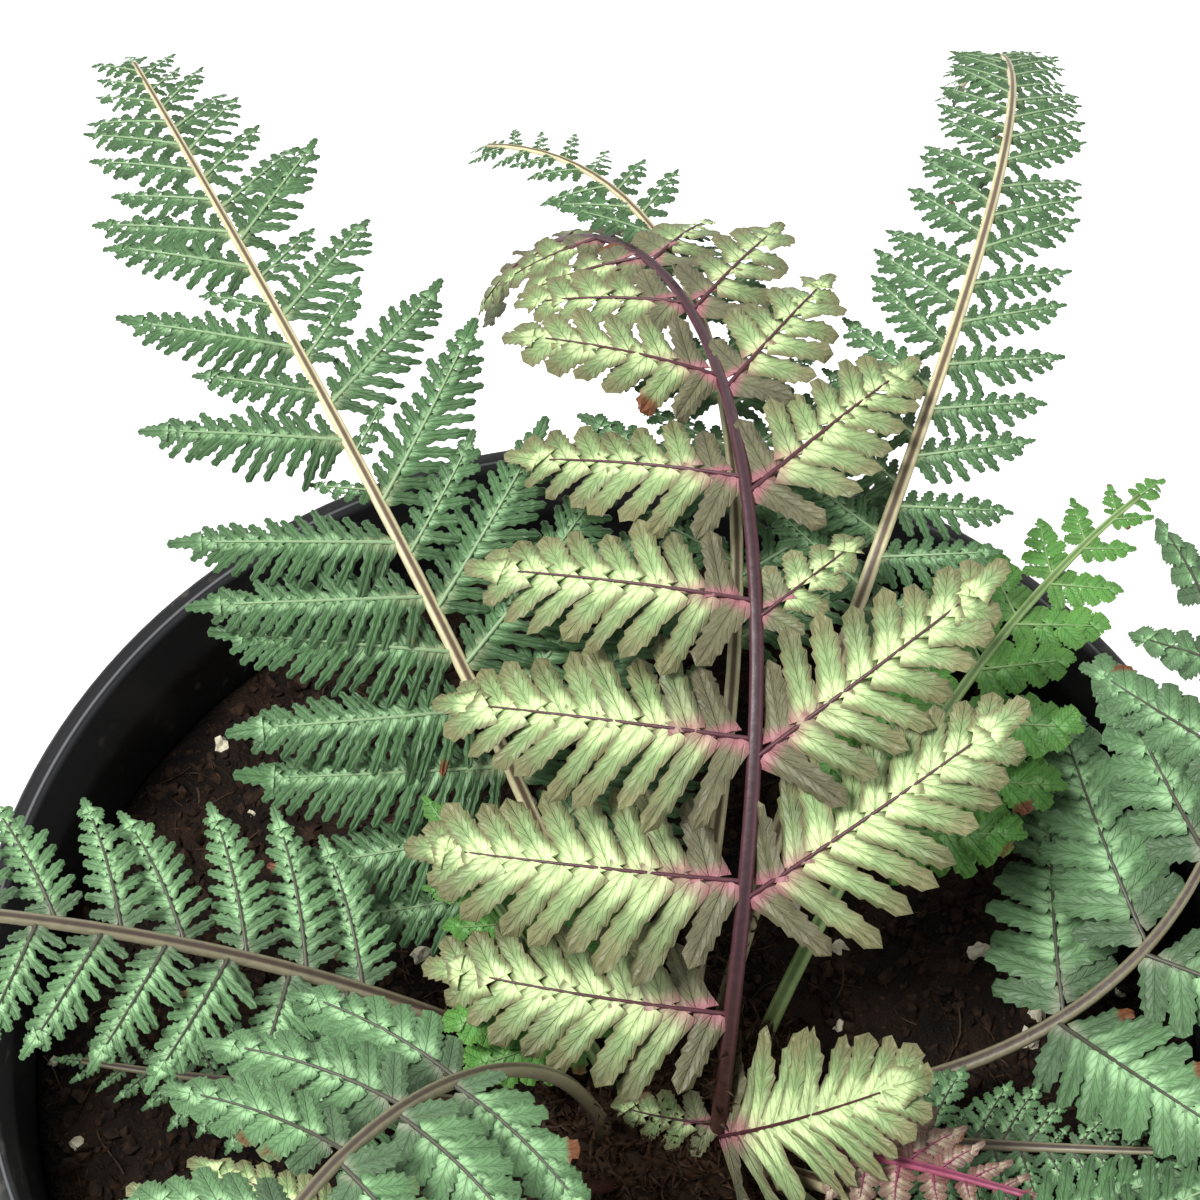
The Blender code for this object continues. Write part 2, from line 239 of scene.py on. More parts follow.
PALETTES = {
    "mature_leaf": Palette(
        silver=(0.53, 0.67, 0.32), green=(0.205, 0.300, 0.125), margin=(0.150, 0.132, 0.065),
        base=(0.105, 0.095, 0.055), tinge=(0.35, 0.12, 0.155), tinge_end=0.42, band=0.36, veins=0.35,
        rib=(0.024, 0.006, 0.010), rib_edge=(0.066, 0.019, 0.027), costa=(0.070, 0.018, 0.026),
    ),
    "green_leaf": Palette(
        silver=(0.22, 0.37, 0.185), green=(0.072, 0.150, 0.060), margin=(0.050, 0.108, 0.043),
        base=(0.048, 0.100, 0.040), tinge=(0.30, 0.36, 0.20), tinge_end=0.20, band=0.26, veins=0.20,
        rib=(0.10, 0.065, 0.035), rib_edge=(0.60, 0.55, 0.33), costa=(0.22, 0.33, 0.17),
    ),
    "silver_leaf": Palette(
        silver=(0.29, 0.49, 0.245), green=(0.115, 0.225, 0.098), margin=(0.075, 0.150, 0.063),
        base=(0.070, 0.120, 0.060), tinge=(0.22, 0.24, 0.17), tinge_end=0.2, band=0.36, veins=0.25,
        rib=(0.05, 0.033, 0.022), rib_edge=(0.20, 0.18, 0.11), costa=(0.060, 0.060, 0.040),
    ),
    "bright_leaf": Palette(
        silver=(0.21, 0.42, 0.14), green=(0.095, 0.26, 0.055), margin=(0.095, 0.235, 0.042),
        base=(0.085, 0.20, 0.045), tinge=(0.24, 0.38, 0.13), tinge_end=0.2, band=0.30, veins=0.18,
        rib=(0.09, 0.16, 0.045), rib_edge=(0.26, 0.38, 0.14), costa=(0.20, 0.34, 0.12),
    ),
    "pink_leaf": Palette(
        silver=(0.40, 0.33, 0.24), green=(0.21, 0.16, 0.11), margin=(0.15, 0.085, 0.065),
        base=(0.16, 0.07, 0.06), tinge=(0.42, 0.11, 0.17), tinge_end=0.9, band=0.5, veins=0.2,
        rib=(0.13, 0.02, 0.05), rib_edge=(0.30, 0.07, 0.12), costa=(0.20, 0.04, 0.08),
    ),
}
BROWN_TIP = (0.12, 0.045, 0.018)
BROWN_FOOT = (0.055, 0.026, 0.014)


# %% The leaf finish
def leaf_material(name, palette):
    made, bench, shader = new_material(name)
    reach = bench.attribute("reach")
    side = bench.attribute("side").size()
    along = bench.attribute("along")
    tone = bench.attribute("tone")
    place = bench.attribute("place")
    cloud = bench.grain(230.0, 3.0) - 0.5
    fleck = bench.grain(1300.0, 3.0) - 0.5
    spread = reach + side * side * 0.30 + cloud * 0.55 + fleck * 0.35 + (tone - 0.5) * 0.18
    silver = 1.0 - (spread + place * 0.18).ramp(palette.band * 0.55, palette.band * 1.5)
    edge = (reach.math("MAXIMUM", side * 0.90) + cloud * 0.40 + fleck * 0.20).ramp(0.46, 0.88)
    chevron = (reach * 6.0 - side * 2.4 + fleck * 0.3).math("PINGPONG", 0.5)
    vein = 1.0 - chevron.ramp(0.0, 0.16)
    middle = 1.0 - side.ramp(0.02, 0.10)
    root = 1.0 - (along + reach * 0.06 + cloud * 0.14).ramp(0.09, 0.30)
    tinge = (1.0 - reach.ramp(0.02, 0.22)) * (1.0 - along.ramp(0.10, palette.tinge_end))
    burnt = (tone + fleck * 0.02).ramp(0.972, 0.985) * (reach + cloud * 0.5).ramp(0.68, 0.84)
    colour = bench.blend(silver, palette.green, palette.silver)
    colour = bench.blend(vein * palette.veins * (1.0 - silver * 0.4), colour, palette.margin)
    colour = bench.blend(edge * 0.85, colour, palette.margin)
    colour = bench.blend(middle * 0.40, colour, palette.green)
    aged = root + (place + cloud * 0.4).ramp(0.45, 1.05) * reach.ramp(0.1, 0.7) * 0.55
    colour = bench.blend(aged.math("MINIMUM", 0.92), colour, palette.base)
    colour = bench.blend(tinge * 0.75, colour, palette.tinge)
    colour = bench.blend(burnt, colour, BROWN_TIP)
    colour = bench.shaded(colour, tone * 0.24 + cloud * 0.75 + fleck * 0.55 + 0.88)
    height = cloud * 0.8 + fleck * 0.35 - vein * 0.30 - middle * 0.6
    finish(bench, shader, colour, fleck * 0.3 + 0.50, height, 0.0005, 0.6, gloss=0.3)
    return made


# %% The finish of stalks and ribs
def rib_material(name, palette):
    """Stalk and ribs: a dark groove between two paler edges, with fine lengthwise streaks."""
    made, bench, shader = new_material(name)
    around = bench.attribute("round")
    streak = bench.grain(900.0, 2.0)
    cloud = bench.grain(120.0, 3.0)
    paler = around.ramp(0.03, 0.12) * (1.0 - around.ramp(0.34, 0.52))
    colour = bench.blend(paler * (cloud * 0.6 + 0.6), palette.rib, palette.rib_edge)
    colour = bench.blend(bench.attribute("fine"), colour, palette.costa)
    low = 1.0 - bench.attribute("place").ramp(0.02, 0.24)
    colour = bench.blend(low * 0.7, colour, BROWN_FOOT)
    colour = bench.shaded(colour, streak * 0.5 + 0.75)
    finish(bench, shader, colour, streak * 0.25 + 0.35, streak, 0.0002, 0.4)
    return made


LEAF_MATERIALS = {name: leaf_material(name, palette) for name, palette in PALETTES.items()}
RIB_MATERIALS = {name: rib_material(name + "_ribs", palette) for name, palette in PALETTES.items()}
print("leaf finishes:", ", ".join(LEAF_MATERIALS))

# %% [markdown]
# ## Where every frond goes
#
# The fronds follow the same rule as the solids. A frond leaves the crown at a bearing, climbs
# and then bends over, and its leaflets grow in two rows that shorten towards the tip. The table
# gives a frond's path in its first line and its leaflets in its second, in millimetres, degrees
# and shares. The paths are those of the solids. The leaflets differ from the solids' a little,
# and most fronds have more of them, because a finer mesh has room for them. `pitch` is the
# distance between the small lobes of a leaflet.

# %% Frond table and path
CROWN = Vector((0.008, -0.012, 0.1445))
FOOT_DEPTH = 0.002
STALK_FOOT = 0.0012
STALK_TIP = 0.00042
PATH_STEPS = 40

Frond = namedtuple(
    "Frond",
    "name foot heading swing rise fall bend length "
    "bare pairs reach taper plump lean skew hang pitch form",
)

FROND_TABLE = (
    ("arching", (-65, 10), 80, 65, 85, -65, 0.9, 200,
     0.06, 12, 48, 0.85, 0.33, 80, 18, 30, 4.4, "long"),
    ("back_left", (130, 9), 121, -10, 60, -25, 0.9, 180,
     0.16, 21, 33, 0.60, 0.25, 74, 0, 20, 2.3, "fine"),
    ("back_right", (62, 9), 65, 35, 75, -65, 0.8, 245,
     0.28, 28, 16, 0.60, 0.28, 72, 0, 18, 2.0, "fine"),
    ("bright", (85, 7), 78, 66, 65, -33, 0.86, 168,
     0.36, 15, 24, 0.85, 0.25, 70, 0, 25, 2.6, "fine"),
    ("left_low", (160, 10), 180, 10, 55, -20, 1.0, 186,
     0.24, 20, 22, 0.75, 0.24, 78, 0, 26, 2.2, "fine"),
    ("small_right", (32, 10.5), 56, -12, 57, -7, 1.0, 99,
     0.40, 8, 21, 0.85, 0.38, 68, 0, 18, 3.2, "broad"),
    ("right_edge", (8, 11.5), -2, 140, 20, 52, 0.81, 105,
     0.40, 5, 40, 0.70, 0.27, 70, 0, 26, 3.6, "broad"),
    ("right_front", (-17, 12), -18, 14, 42, 8, 1.1, 57,
     0.36, 12, 12, 0.85, 0.34, 78, 0, 16, 1.7, "fine"),
    ("young", (-160, 6), 140, -15, 70, 20, 1.2, 52,
     0.40, 6, 18, 0.85, 0.38, 70, 0, 15, 3.0, "broad"),
    ("front_left", (-152, 10), 220, 60, 84, -30, 1.3, 160,
     0.42, 9, 24, 0.85, 0.30, 80, 0, 24, 3.2, "broad"),
    ("lower_left", (-178, 12), 185, -20, 35, -10, 1.0, 68,
     0.36, 11, 14, 0.85, 0.30, 78, 0, 18, 1.7, "fine"),
    ("new_leaf", (-50, 6), -38, 12, 64, 20, 1.3, 60,
     0.55, 6, 10, 0.85, 0.34, 70, 0, 12, 2.0, "broad"),
    ("front_middle", (-95, 11), -98, -18, 60, -30, 1.0, 195,
     0.28, 15, 31, 0.85, 0.25, 80, 0, 26, 2.8, "long"),
    ("front_right", (-38, 11), -52, 16, 62, -28, 1.0, 200,
     0.28, 17, 30, 0.85, 0.24, 78, 0, 26, 2.5, "fine"),
    ("front_far_left", (-125, 10.5), -135, -8, 58, -28, 1.1, 180,
     0.32, 14, 28, 0.85, 0.25, 78, 0, 26, 3.0, "long"),
)
FRONDS = [Frond("frond_" + name, *sizes) for name, *sizes in FROND_TABLE]
NODE_SLOT = {part["node"]: part["material_slot"] for part in frame["record"]["subparts"]}
PAINT = {**NODE_SLOT, "frond_bright": "green_leaf"}


# %% Paths of the stalks
def frond_path(frond):
    """Points from the foot to the tip, bending over by the frond's climb and heading."""
    bearing, distance = frond.foot
    turn = math.radians(bearing)
    spot = CROWN + Vector((math.cos(turn), math.sin(turn), 0.0)) * distance / 1000
    spot.z -= FOOT_DEPTH
    points = [spot.copy()]
    for step in range(PATH_STEPS):
        share = (step + 0.5) / PATH_STEPS
        climb = math.radians(frond.rise + (frond.fall - frond.rise) * share**frond.bend)
        heading = math.radians(frond.heading + frond.swing * share**2)
        flat = math.cos(climb)
        way = Vector((flat * math.cos(heading), flat * math.sin(heading), math.sin(climb)))
        spot = spot + way * frond.length / 1000 / PATH_STEPS
        points.append(spot)
    return points


def frame_at(points, share):
    """Place, direction, left side and upper face of the path at a share of its length."""
    place = min(max(share, 0.0), 1.0) * (len(points) - 1)
    index = min(int(place), len(points) - 2)
    spot = points[index].lerp(points[index + 1], place - index)
    before = points[max(index - 1, 0)]
    after = points[min(index + 2, len(points) - 1)]
    ahead = (after - before).normalized()
    left = Vector((0.0, 0.0, 1.0)).cross(ahead).normalized()
    return spot, ahead, left, ahead.cross(left)


PATHS = {frond.name: frond_path(frond) for frond in FRONDS}
print(len(FRONDS), "fronds, the longest", max(frond.length for frond in FRONDS), "mm")

# %% [markdown]
# ## One leaflet's midrib
#
# A leaflet leaves the stalk at an angle, starts slightly raised and hangs towards its tip. Its
# midrib is worked out in short steps, each with its own direction, side and upper face, so that
# lobes can be set on it at any point.

# %% Leaflet midribs
Leaflet = namedtuple("Leaflet", "hand place root along across face length plump lift hang sweep")
SPINE_STEPS = 16
LEVEL = 0.65
TIP_LEAN = 48
CROWDING = 1.15
STAGGER = 0.006
SHORTEST = 0.22
END_LEAFLET = 0.30
END_PLACE = 0.985
LEAN_CHANCE = 6
LIFT = 8
SWEEP = 10


def spine(leaf):
    """Spot, direction, side and upper face at even steps along a leaflet's midrib."""
    spot = leaf.root.copy()
    found = []
    for step in range(SPINE_STEPS + 1):
        share = step / SPINE_STEPS
        angle = leaf.lift - leaf.hang * share
        turn = leaf.sweep * share
        flat = leaf.along * math.cos(turn) + leaf.across * math.sin(turn)
        side = leaf.across * math.cos(turn) - leaf.along * math.sin(turn)
        way = flat * math.cos(angle) + leaf.face * math.sin(angle)
        normal = leaf.face * math.cos(angle) - flat * math.sin(angle)
        found.append((spot.copy(), way, side, normal))
        spot = spot + way * leaf.length / SPINE_STEPS
    return found


# %% Every leaflet of a frond
def half_width(leaf, share):
    """How far the lobes reach from the midrib, at a share of the leaflet's length."""
    swell = min(1.0, 0.70 + 1.8 * share)
    return leaf.plump * leaf.length * swell * (1.0 - share) ** 0.5


def levelled(along, across, face):
    """Turns a leaflet about its own midrib until its upper face looks more to the sky."""
    beside = along.cross(face)
    turn = LEVEL * math.atan2(beside.z, face.z)
    spin = Quaternion(along, turn)
    return spin @ across, spin @ face


def row_of_leaflets(frond, points):
    """Every leaflet of a frond at its full length, from the lowest pair to the tip."""
    chance = random.Random(frond.name)
    hang = math.radians(frond.hang)
    for pair in range(frond.pairs):
        share = pair / frond.pairs
        place = frond.bare + (1.0 - frond.bare) * (1.0 - (1.0 - share) ** CROWDING)
        for hand in (1, -1):
            spot, ahead, left, face = frame_at(points, place + STAGGER * hand)
            lowest = frond.lean + frond.skew * hand
            lean = math.radians(lowest + (TIP_LEAN - lowest) * share)
            lean += math.radians(chance.uniform(-LEAN_CHANCE, LEAN_CHANCE))
            out = left * hand
            along = out * math.sin(lean) + ahead * math.cos(lean)
            across = ahead * math.sin(lean) - out * math.cos(lean)
            across, upper = levelled(along, across, face)
            full = max(min(1.0, 0.90 + 1.3 * share) * (1.0 - share) ** frond.taper, SHORTEST)
            length = frond.reach / 1000 * full * chance.uniform(0.94, 1.05)
            lift = math.radians(LIFT + chance.uniform(-LIFT, LIFT))
            shape = (length, frond.plump, lift, hang, math.radians(SWEEP))
            yield Leaflet(hand, place, spot, along, across, upper, *shape)
    spot, ahead, left, face = frame_at(points, END_PLACE)
    length = frond.reach / 1000 * END_LEAFLET
    yield Leaflet(0, 1.0, spot, ahead, left, face, length, frond.plump, 0.0, hang, 0.0)


# %% [markdown]
# ## Keeping leaflets out of each other
#
# On a real plant a leaf that meets another slides over it. Here a rough blade stands for each
# leaflet. It is tried against everything placed so far, and if it would cut through something
# the leaflet is bent up or down a little, or at last made shorter, until it clears. One that
# never clears is left out.


# %% A rough blade for each leaflet
LEAF_GAP = 0.0005
NARROWEST = 0.0003
BENDS = (0, 9, -9, 18, -18, 28, -28, 40, -40)
SHORTENINGS = (1.0, 0.82, 0.64, 0.46, 0.30)


def rough_blade(leaf):
    """A thin strip of triangles in the leaflet's outline, three layers deep."""
    steps = spine(leaf)[::4]
    points = []
    faces = []
    for layer in (-1, 0, 1):
        base = len(points)
        for index, (spot, way, side, normal) in enumerate(steps):
            half = max(half_width(leaf, index / (len(steps) - 1)), NARROWEST)
            middle = spot + normal * layer * LEAF_GAP
            points += [middle + side * half, middle - side * half]
        for index in range(len(steps) - 1):
            a = base + 2 * index
            faces += [(a, a + 1, a + 3), (a, a + 3, a + 2)]
    return BVHTree.FromPolygons(points, faces)


# %% Solids to keep clear of
def stalk_tree(points):
    """A rough square tube round a frond's path."""
    corners = []
    faces = []
    for index in range(0, PATH_STEPS + 1, 4):
        spot, ahead, left, face = frame_at(points, index / PATH_STEPS)
        radius = STALK_FOOT + LEAF_GAP
        corners += [spot + way * radius for way in (left, face, -left, -face)]
    for start in range(0, len(corners) - 4, 4):
        for corner in range(4):
            a, b = start + corner, start + (corner + 1) % 4
            faces += [(a, b, b + 4), (a, b + 4, a + 4)]
    return BVHTree.FromPolygons(corners, faces)


def node_tree(name):
    shape = bmesh.new()
    shape.from_mesh(frame["nodes"][name].data)
    tree = BVHTree.FromBMesh(shape)
    shape.free()
    return tree


# %% Try each leaflet
def cleared_leaflets():
    """Each frond's leaflets, bent or shortened where they would cross something."""
    fixed = [("", node_tree(name)) for name in ("pot", "soil", "rhizome")]
    fixed += [(name, stalk_tree(points)) for name, points in PATHS.items()]
    found = {}
    for frond in FRONDS:
        kept = []
        before = {1: None, -1: None, 0: None}
        for full in row_of_leaflets(frond, PATHS[frond.name]):
            near = [tree for owner, tree in fixed if owner != frond.name]
            if before[full.hand]:
                near.append(before[full.hand])
            tried = (
                full._replace(length=full.length * short, lift=full.lift + math.radians(bend))
                for short in SHORTENINGS
                for bend in BENDS
            )
            for leaf in tried:
                blade = rough_blade(leaf)
                if not any(blade.overlap(tree) for tree in near):
                    kept.append(leaf)
                    before[leaf.hand] = blade
                    fixed.append((frond.name, blade))
                    break
        found[frond.name] = kept
    return found


LEAFLETS = cleared_leaflets()
print("leaflets:", sum(len(leaves) for leaves in LEAFLETS.values()))

# %% [markdown]
# ## The small lobes
#
# A leaflet is cut almost to its midrib into toothed lobes. For each kind of frond a few variants
# of one lobe are modelled, each with its own curl, twist and ruffle, as closed blades of few
# faces. A lobe lies along X with its root at 0 and its tip at 1, so its size comes from scaling.

# %% Lobe shapes
Form = namedtuple("Form", "rows first_tooth notch root waist belly tip fill lower")

FORMS = {
    "long": Form(
        rows=12, first_tooth=4, notch=0.82, root=0.64, waist=0.42, belly=0.50, tip=0.40,
        fill=0.98, lower=1.06,
    ),
    "fine": Form(
        rows=9, first_tooth=3, notch=0.72, root=0.62, waist=0.42, belly=0.42, tip=0.60,
        fill=1.10, lower=1.18,
    ),
    "broad": Form(
        rows=11, first_tooth=3, notch=0.78, root=0.50, waist=0.50, belly=0.58, tip=0.50,
        fill=1.12, lower=1.05,
    ),
}
VARIANTS = 5
COLUMNS = (-1.0, -0.5, 0.0, 0.5, 1.0)
TOOTH_LEAN = 0.045
BLADE_DEPTH = 0.022
CHANNEL = 0.034
RUFFLE = 0.045
JOINED = 0.30


def mesh_from(shape, name):
    """The finished mesh of a shape that was built with bmesh."""
    mesh = bpy.data.meshes.new(name)
    shape.to_mesh(mesh)
    shape.free()
    return mesh


def shape_set(name, meshes):
    """A collection of shapes that a scatter tree picks from."""
    group = bpy.data.collections.new(name)
    for mesh in meshes:
        group.objects.link(bpy.data.objects.new(mesh.name, mesh))
    return group


# %% One lobe
def lobe_outline(form, share):
    """Half the lobe's width at a share of its length, without its teeth."""
    joined = max(0.0, 1.0 - share / JOINED)
    wide = form.waist + (form.belly - form.waist) * min(1.0, share / 0.7)
    wide += (form.root - form.waist) * joined
    return wide * (1.0 - share**3.6) ** form.tip


def lobe_mesh(name, form, chance):
    """One lobe along X: a ruffled upper face over a thin keel, with teeth along its edges."""
    curl = chance.uniform(-0.20, 0.14)
    twist = chance.uniform(-0.16, 0.16)
    wave = chance.uniform(0.0, math.tau)
    sickle = chance.uniform(0.02, 0.12)
    shape = bmesh.new()
    reach = shape.verts.layers.float.new("reach")
    side = shape.verts.layers.float.new("side")

    def vertex(x, y, z, column):
        spot = (x, y + sickle * x * x * 0.5, z + twist * y * x)
        made = shape.verts.new(spot)
        made[reach] = min(max(x, 0.0), 1.0)
        made[side] = column
        return made

    rows = []
    unders = []
    for row in range(form.rows):
        share = row / form.rows
        toothed = row >= form.first_tooth
        notched = toothed and row % 2 == 1
        half = lobe_outline(form, share) * (form.notch if notched else 1.0)
        drop = curl * share**1.8
        line = []
        for column in COLUMNS:
            lean = TOOTH_LEAN * abs(column) if toothed and not notched else 0.0
            raised = CHANNEL * (1.0 - (2.0 * abs(column) - 1.0) ** 2) - 0.02 * abs(column)
            raised += RUFFLE * share * column**2 * math.sin(share * 11.0 + column * 2.0 + wave)
            line.append(vertex(share + lean, half * column, drop + raised, column))
        rows.append(line)
        unders.append(vertex(share, 0.0, drop - BLADE_DEPTH, 0.0))
    tip = vertex(1.0, 0.0, curl - 0.01, 0.0)
    for row in range(form.rows - 1):
        here, ahead = rows[row], rows[row + 1]
        for column in range(4):
            shape.faces.new((here[column], ahead[column], ahead[column + 1], here[column + 1]))
        shape.faces.new((here[0], unders[row], unders[row + 1], ahead[0]))
        shape.faces.new((unders[row], here[4], ahead[4], unders[row + 1]))
    last = rows[-1]
    for column in range(4):
        shape.faces.new((last[column], tip, last[column + 1]))
    shape.faces.new((last[0], unders[-1], tip))
    shape.faces.new((unders[-1], last[4], tip))
    shape.faces.new((*rows[0], unders[0]))
    bmesh.ops.recalc_face_normals(shape, faces=shape.faces)
    bmesh.ops.triangulate(shape, faces=shape.faces)
    return mesh_from(shape, name)


LOBES = {}
for name, form in FORMS.items():
    chance = random.Random(name)
    variants = [lobe_mesh(f"lobe_{name}_{index}", form, chance) for index in range(VARIANTS)]
    LOBES[name] = shape_set("lobes_" + name, variants)

# %% [markdown]
# ## A Geometry Nodes tree that sets the lobes
#
# Python works out where each lobe sits, as one point with a turn, a size and its colours'
# numbers. The tree then puts a lobe on each point. It picks one of the variants at random,
# rocks it by a small random angle, makes the copies real and gives them their material.


# %% Helpers for Geometry Nodes
def new_tree(name, **inputs):
    """A geometry tree with named inputs, its bench and a function that reads an input."""
    tree = bpy.data.node_groups.new(name, "GeometryNodeTree")
    for label, kind in {"Geometry": "Geometry", **inputs, "Material": "Material"}.items():
        tree.interface.new_socket(label, in_out="INPUT", socket_type="NodeSocket" + kind)
    tree.interface.new_socket("Geometry", in_out="OUTPUT", socket_type="NodeSocketGeometry")
    bench = Bench(tree)
    entry = tree.nodes.new("NodeGroupInput")

    def read(label):
        return Flow(bench, entry.outputs[label])

    return tree, bench, read


def end_tree(bench, read, geometry):
    """Every tree ends the same way: copies made real, then their material."""
    real = bench.add("GeometryNodeRealizeInstances", {}, {"Geometry": geometry})
    values = {"Geometry": real, "Material": read("Material")}
    painted = bench.add("GeometryNodeSetMaterial", {}, values)
    leave = bench.tree.nodes.new("NodeGroupOutput")
    bench.tree.links.new(painted.socket, leave.inputs[0])


# %% Parts that several trees use
def named(bench, label, kind="FLOAT"):
    """Reads an attribute that the points carry."""
    return bench.add("GeometryNodeInputNamedAttribute", {"data_type": kind}, {"Name": label})


def shapes_of(bench, group):
    values = {"Collection": group, "Separate Children": True, "Reset Children": True}
    return bench.add("GeometryNodeCollectionInfo", {}, values)


def by_chance(bench, kind, low, high, seed):
    values = {"Min": low, "Max": high, "Seed": seed}
    return bench.add("FunctionNodeRandomValue", {"data_type": kind}, values)


def rocked(bench, placed, low, high, seed):
    """Turns each copy by random angles between two limits."""
    angles = by_chance(bench, "FLOAT_VECTOR", low, high, seed)
    turn = bench.add("FunctionNodeEulerToRotation", {}, {0: angles})
    return bench.add("GeometryNodeRotateInstances", {}, {"Instances": placed, "Rotation": turn})


# %% Run a tree
def linked(name, mesh):
    made = bpy.data.objects.new(name, mesh)
    bpy.context.scene.collection.objects.link(made)
    return made


def discard(thing):
    bpy.data.objects.remove(thing, do_unlink=True)


def worked_out(thing):
    """A plain mesh of the object, with its modifiers worked in."""
    bpy.context.view_layer.update()
    graph = bpy.context.evaluated_depsgraph_get()
    return bpy.data.meshes.new_from_object(thing.evaluated_get(graph))


def run_tree(source, tree, values, name):
    """Runs a tree on an object and returns the result as a plain object of its own."""
    modifier = source.modifiers.new(tree.name, "NODES")
    modifier.node_group = tree
    for item in tree.interface.items_tree:
        if item.item_type == "SOCKET" and item.in_out == "INPUT" and item.name in values:
            modifier[item.identifier] = values[item.name]
    mesh = worked_out(source)
    source.modifiers.remove(modifier)
    mesh.materials.clear()
    mesh.materials.append(values["Material"])
    mesh.name = name
    return linked(name, mesh)


def point_cloud(name, points, numbers, vectors, edges=()):
    """A mesh of loose points, or of lines, with named numbers and vectors on its points."""
    mesh = bpy.data.meshes.new(name)
    mesh.from_pydata(points, edges, [])
    for label, values in numbers.items():
        mesh.attributes.new(label, "FLOAT", "POINT").data.foreach_set("value", values)
    for label, values in vectors.items():
        flat = [number for value in values for number in value]
        mesh.attributes.new(label, "FLOAT_VECTOR", "POINT").data.foreach_set("vector", flat)
    return linked(name, mesh)


# %% The tree that sets lobes
def lobe_tree():
    tree, bench, read = new_tree("set_lobes", Lobes="Collection", Rock="Float", Seed="Int")
    seed = read("Seed")
    placed = bench.add(
        "GeometryNodeInstanceOnPoints", {},
        {
            "Points": read("Geometry"), "Instance": shapes_of(bench, read("Lobes")),
            "Pick Instance": True, "Instance Index": by_chance(bench, "INT", 0, VARIANTS - 1, seed),
            "Rotation": bench.add(
                "FunctionNodeEulerToRotation", {}, {0: named(bench, "turn", "FLOAT_VECTOR")}
            ),
            "Scale": named(bench, "size", "FLOAT_VECTOR"),
        },
    )
    low, high = (
        bench.add("ShaderNodeVectorMath", {"operation": "SCALE"}, {0: most, "Scale": read("Rock")})
        for most in ((-1, -1, -0.4), (1, 1, 0.4))
    )
    end_tree(bench, read, rocked(bench, placed, low, high, seed))
    return tree


LOBE_TREE = lobe_tree()

# %% [markdown]
# ## Lobes on every leaflet
#
# Lobes lean towards the leaflet's tip, more so near it. They are as long as the leaflet is wide
# there, and a little wider than their spacing, so their roots run together into the thin wing
# that borders the midrib.

# %% Place the lobes
LOBE_ROOT = 0.03
LOBE_END = 0.95
LOBE_LEAN_ROOT = 72
LOBE_LEAN_TIP = 42
LOBE_SINK = 0.0001
FEWEST_LOBES = 4
END_LOBE = 0.16
SHORTEST_END_LOBE = 0.0016


def turn_of(way, normal):
    """The angles that lay X along way and Z near normal."""
    y = normal.cross(way).normalized()
    z = way.cross(y)
    return Matrix((way, y, z)).transposed().to_euler()


def lobes_of(leaf, pitch, form, chance):
    """Spot, turn, size and numbers for each lobe of one leaflet."""
    steps = spine(leaf)
    count = max(FEWEST_LOBES, round(leaf.length * 1000 / pitch))
    stride = leaf.length * (LOBE_END - LOBE_ROOT) / count
    for index in range(count):
        share = LOBE_ROOT + (LOBE_END - LOBE_ROOT) * (index + 0.5) / count
        spot, way, side, normal = steps[round(share * SPINE_STEPS)]
        exact = share * SPINE_STEPS - round(share * SPINE_STEPS)
        spot = spot + way * exact * leaf.length / SPINE_STEPS
        lean = math.radians(LOBE_LEAN_ROOT + (LOBE_LEAN_TIP - LOBE_LEAN_ROOT) * share)
        for hand in (1, -1):
            longer = form.lower if hand < 0 else 2.0 - form.lower
            reach = half_width(leaf, share) * longer * chance.uniform(0.95, 1.12) / math.sin(lean)
            out = side * hand * math.sin(lean) + way * math.cos(lean)
            out = (out - normal * chance.uniform(0.05, 0.22)).normalized()
            tilt = turn_of(out, normal)
            width = max(stride * form.fill * chance.uniform(0.92, 1.08), reach * 0.2)
            start = spot - normal * LOBE_SINK + way * stride * 0.25 * hand
            yield start, tilt, (reach, width, reach), share
    spot, way, side, normal = steps[-2]
    reach = max(leaf.length * END_LOBE, SHORTEST_END_LOBE)
    yield spot, turn_of(way, normal), (reach, reach * 0.62, reach), 0.97


# %% Set every lobe
def lobe_points(frond):
    """One point for each lobe of a frond, with all that the tree and the colours need."""
    chance = random.Random(frond.name + " lobes")
    rows = [
        (*lobe, chance.random(), leaf.place)
        for leaf in LEAFLETS[frond.name]
        for lobe in lobes_of(leaf, frond.pitch, FORMS[frond.form], chance)
    ]
    spots, turns, sizes, shares, tones, places = zip(*rows)
    numbers = {"along": shares, "tone": tones, "place": places}
    return point_cloud(frond.name + "_points", spots, numbers, {"turn": turns, "size": sizes})


ROCK_ANGLE = math.radians(9)
LEAF_PIECES = {}
for number, frond in enumerate(FRONDS):
    points = lobe_points(frond)
    settings = {
        "Lobes": LOBES[frond.form],
        "Rock": ROCK_ANGLE,
        "Seed": number,
        "Material": LEAF_MATERIALS[PAINT[frond.name]],
    }
    LEAF_PIECES[frond.name] = run_tree(points, LOBE_TREE, settings, frond.name + "_leaf")
    discard(points)
    print(frond.name, "lobe triangles:", len(LEAF_PIECES[frond.name].data.polygons))

# %% [markdown]
# ## Midribs and stalks
#
# Each leaflet's midrib is a fine tapering tube. A tree turns the lines into tubes: the radius
# rides on the points, and the number of sides is an input. The main stalk is thicker and has a
# groove along its upper face, so it is lofted ring by ring. The attribute `round` holds how far
# each point lies from the groove, for the colours.


